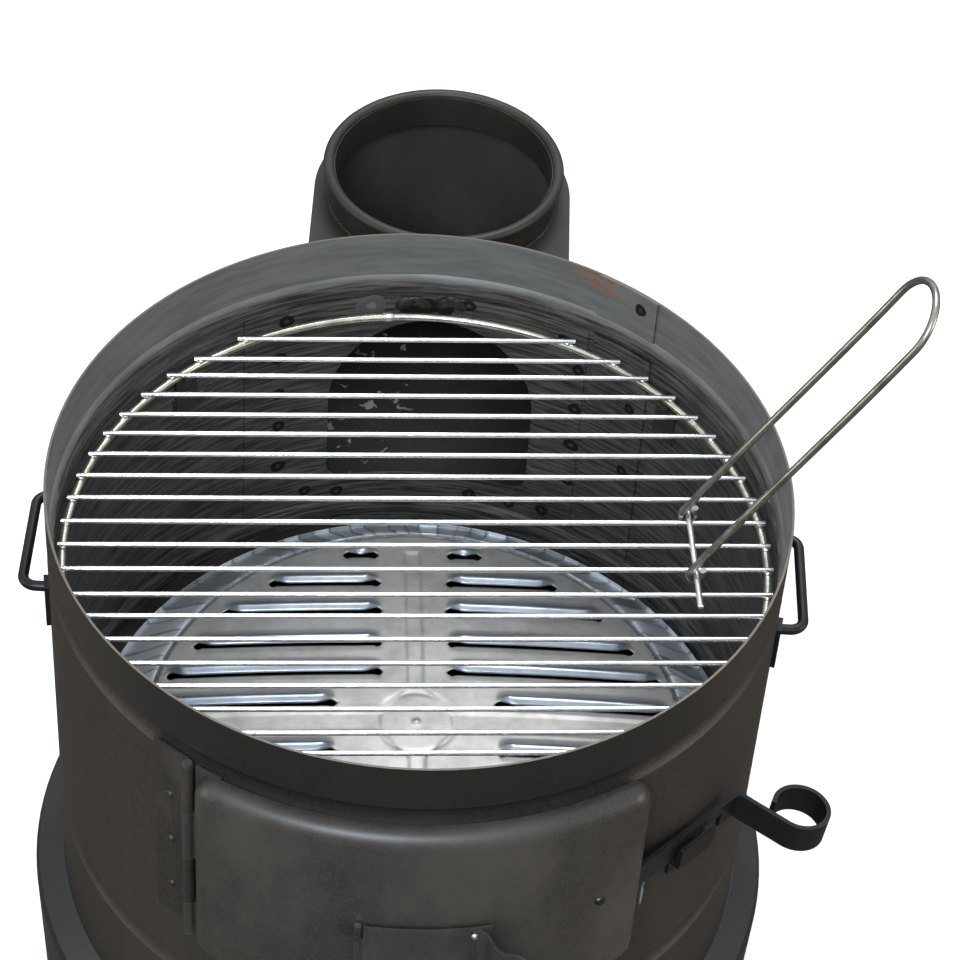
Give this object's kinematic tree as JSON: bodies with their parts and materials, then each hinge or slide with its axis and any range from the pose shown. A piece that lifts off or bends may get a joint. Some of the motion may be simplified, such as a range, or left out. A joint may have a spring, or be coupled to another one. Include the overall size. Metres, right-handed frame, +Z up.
{
  "type": "chiminea",
  "caption": "Round sheet-steel garden stove with rear flue, lift-out grill and grate, latched door, draft flap and ash drawer.",
  "frame": {"origin": "on the body's axis, at the floor that the base drum stands on", "axes": "+Z up along the body and the flue collar, -Y towards the door, +Y towards the flue, +X to the right seen from the door"},
  "size_m": [0.5706, 0.7416, 0.6944],
  "materials": {
    "body_steel": "matte",
    "door_steel": "satin",
    "base_steel": "satin",
    "flue_steel": "matte",
    "black_handle": "satin",
    "fastener_steel": "satin",
    "grill_chrome": "gloss",
    "handle_zinc": "satin",
    "grate_galvanised": "satin"
  },
  "bodies": {
    "root": {"base_drum": "base_steel", "base_floor": "base_steel", "body_shell": "body_steel", "drawer_rail_left": "base_steel", "drawer_rail_right": "base_steel", "flue_box": "flue_steel", "flue_box_bottom": "flue_steel", "flue_box_top": "flue_steel", "flue_collar": "flue_steel", "flue_plate": "body_steel", "grate_ledge": "body_steel", "grill_lug_1": "body_steel", "grill_lug_2": "body_steel", "grill_lug_3": "body_steel", "grill_lug_4": "body_steel", "hinge_body_leaf": "body_steel", "hinge_pin": "fastener_steel", "hinge_rivets": "fastener_steel", "latch_keeper": "body_steel", "side_handle_left": "black_handle", "side_handle_right": "black_handle"},
    "door": {"hinge_door_leaf": "door_steel", "door_panel": "door_steel", "latch_rivet": "fastener_steel", "latch_spacer": "fastener_steel", "flap_lugs": "body_steel", "flap_pin": "fastener_steel"},
    "latch": {"latch_lever": "black_handle"},
    "flap": {"draft_flap": "door_steel", "flap_tab": "door_steel", "flap_rivet": "fastener_steel"},
    "grill": {"grill_ring": "grill_chrome", "grill_wires": "grill_chrome", "grill_hinge_rod": "grill_chrome"},
    "handle": {"grill_handle": "handle_zinc"},
    "grate_body": {"grate": "grate_galvanised"},
    "drawer": {"ash_tray": "base_steel", "drawer_front": "base_steel", "drawer_pull": "black_handle"}
  },
  "joints": [
    {"name": "door_hinge", "type": "hinge", "parent": "root", "child": "door", "pos_m": [-0.13082, -0.20774, 0.4], "axis": [0, 0, -1], "range_deg": [0, 125]},
    {"name": "latch_pivot", "type": "hinge", "parent": "door", "child": "latch", "pos_m": [0.12224, -0.21693, 0.394], "axis": [0.4909, -0.8712, 0], "range_deg": [0, 20]},
    {"name": "flap_hinge", "type": "hinge", "parent": "door", "child": "flap", "pos_m": [-0.02265, -0.25891, 0.37], "axis": [0, 0, -1], "range_deg": [0, 100]},
    {"name": "grill_lift", "type": "slide", "parent": "root", "child": "grill", "axis": [0, 0, 1], "range_m": [0, 0.15]},
    {"name": "grill_handle_hinge", "type": "hinge", "parent": "grill", "child": "handle", "pos_m": [0.18106, 0.01393, 0.46825], "axis": [0.0767, -0.9971, 0], "range_deg": [-4, 114]},
    {"name": "grate_lift", "type": "slide", "parent": "root", "child": "grate_body", "axis": [0, 0, 1], "range_m": [0, 0.12]},
    {"name": "drawer_slide", "type": "slide", "parent": "root", "child": "drawer", "axis": [0, -1, 0], "range_m": [0, 0.3]}
  ]
}
